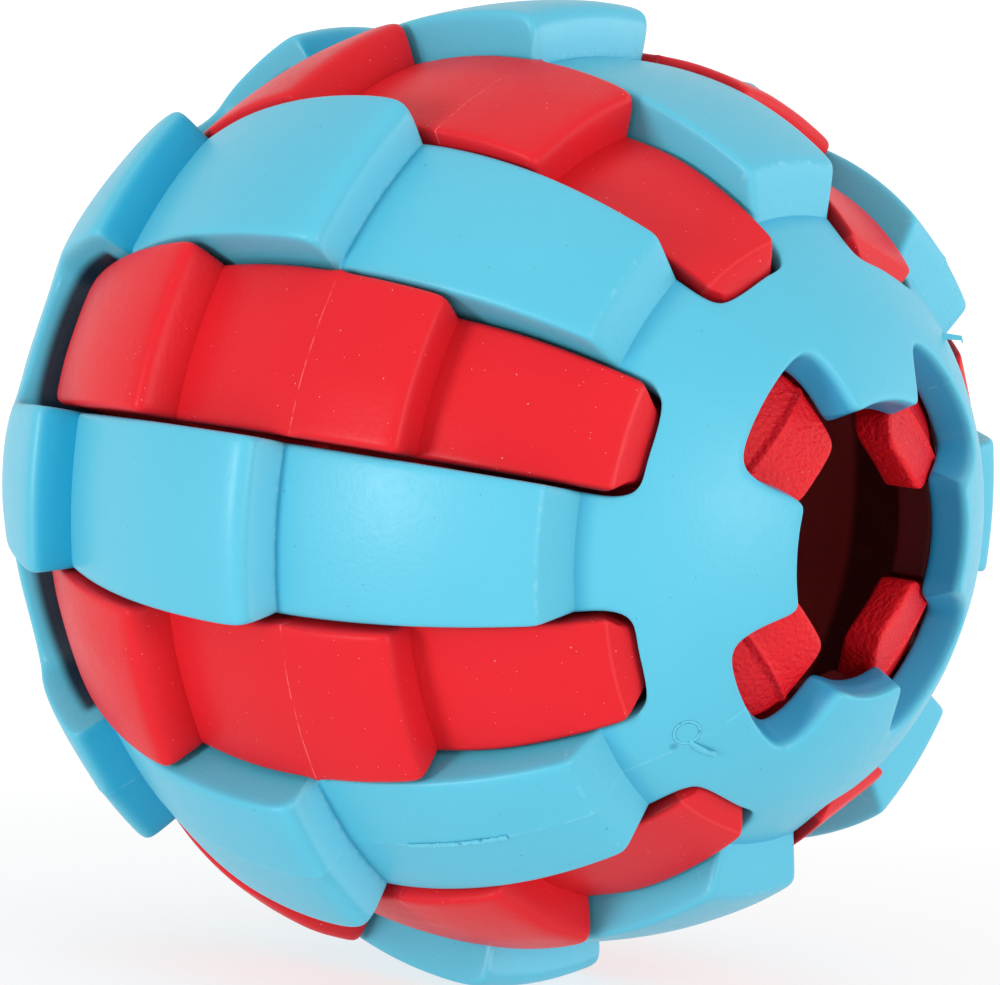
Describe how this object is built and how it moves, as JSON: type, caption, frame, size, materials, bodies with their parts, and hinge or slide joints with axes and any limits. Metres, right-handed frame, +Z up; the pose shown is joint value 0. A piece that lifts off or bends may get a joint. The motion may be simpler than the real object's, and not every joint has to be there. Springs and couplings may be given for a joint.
{
  "type": "treat dispensing ball",
  "caption": "Hollow rubber treat ball for dogs: a stepped, slotted outer cage over a ribbed inner ball, with a toothed mouth and springy fingers that let treats out.",
  "frame": {"origin": "centre of the ball", "axes": "+X along the ball's axis, out of the treat mouth; +Y and +Z through the middles of two ribs of the outer shell, +Z up as pictured"},
  "size_m": [0.0772, 0.0786, 0.0786],
  "materials": {
    "outer_rubber": "matte",
    "inner_rubber": "matte"
  },
  "bodies": {
    "ball": {"outer_shell_upper_half": "outer_rubber", "outer_shell_lower_half": "outer_rubber", "inner_ball_front_half": "inner_rubber", "inner_ball_rear_half": "inner_rubber"},
    "finger_1": {"treat_finger_1": "inner_rubber"},
    "finger_2": {"treat_finger_2": "inner_rubber"},
    "finger_3": {"treat_finger_3": "inner_rubber"},
    "finger_4": {"treat_finger_4": "inner_rubber"}
  },
  "joints": [
    {"name": "finger_1_flex", "type": "hinge", "parent": "ball", "child": "finger_1", "pos_m": [0.03122, 0.01004, 0.01004], "axis": [0, 0.7071, -0.7071], "range_deg": [-20, 50], "stiffness_Nm_per_rad": 0.015},
    {"name": "finger_2_flex", "type": "hinge", "parent": "ball", "child": "finger_2", "pos_m": [0.03122, -0.01004, 0.01004], "axis": [0, 0.7071, 0.7071], "range_deg": [-20, 50], "stiffness_Nm_per_rad": 0.015},
    {"name": "finger_3_flex", "type": "hinge", "parent": "ball", "child": "finger_3", "pos_m": [0.03122, -0.01004, -0.01004], "axis": [0, -0.7071, 0.7071], "range_deg": [-20, 50], "stiffness_Nm_per_rad": 0.015},
    {"name": "finger_4_flex", "type": "hinge", "parent": "ball", "child": "finger_4", "pos_m": [0.03122, 0.01004, -0.01004], "axis": [0, -0.7071, -0.7071], "range_deg": [-20, 50], "stiffness_Nm_per_rad": 0.015}
  ]
}
